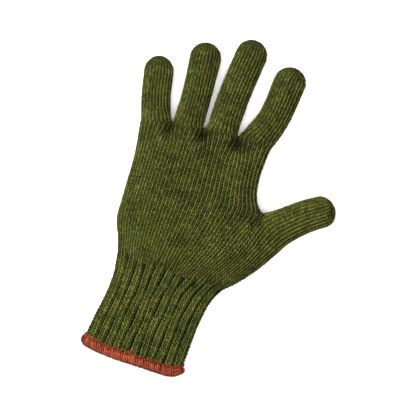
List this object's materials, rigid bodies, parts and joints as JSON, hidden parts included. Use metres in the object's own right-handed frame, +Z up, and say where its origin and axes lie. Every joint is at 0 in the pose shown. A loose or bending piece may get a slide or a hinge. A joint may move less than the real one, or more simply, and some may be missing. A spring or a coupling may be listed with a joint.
{
  "type": "wool glove",
  "caption": "Knitted wool glove with a ribbed cuff and an overlocked thread edge, lying flat with its fingers spread.",
  "frame": {"origin": "on the surface that the glove lies on, under the middle of its bounding box", "axes": "+Y from the cuff to the fingertips, +X to the thumb side, +Z up from the surface"},
  "size_m": [0.1631, 0.2504, 0.0205],
  "materials": {
    "wool": "plain knitted marled olive wool",
    "rib_wool": "rib knitted marled olive wool",
    "edge_thread": "overlocked rust coloured thread"
  },
  "bodies": {
    "root": {"cuff_edge": "edge_thread", "cuff": "rib_wool", "hand": "wool", "thumb": "wool", "index_finger": "wool", "middle_finger": "wool", "ring_finger": "wool", "little_finger": "wool"}
  },
  "joints": []
}
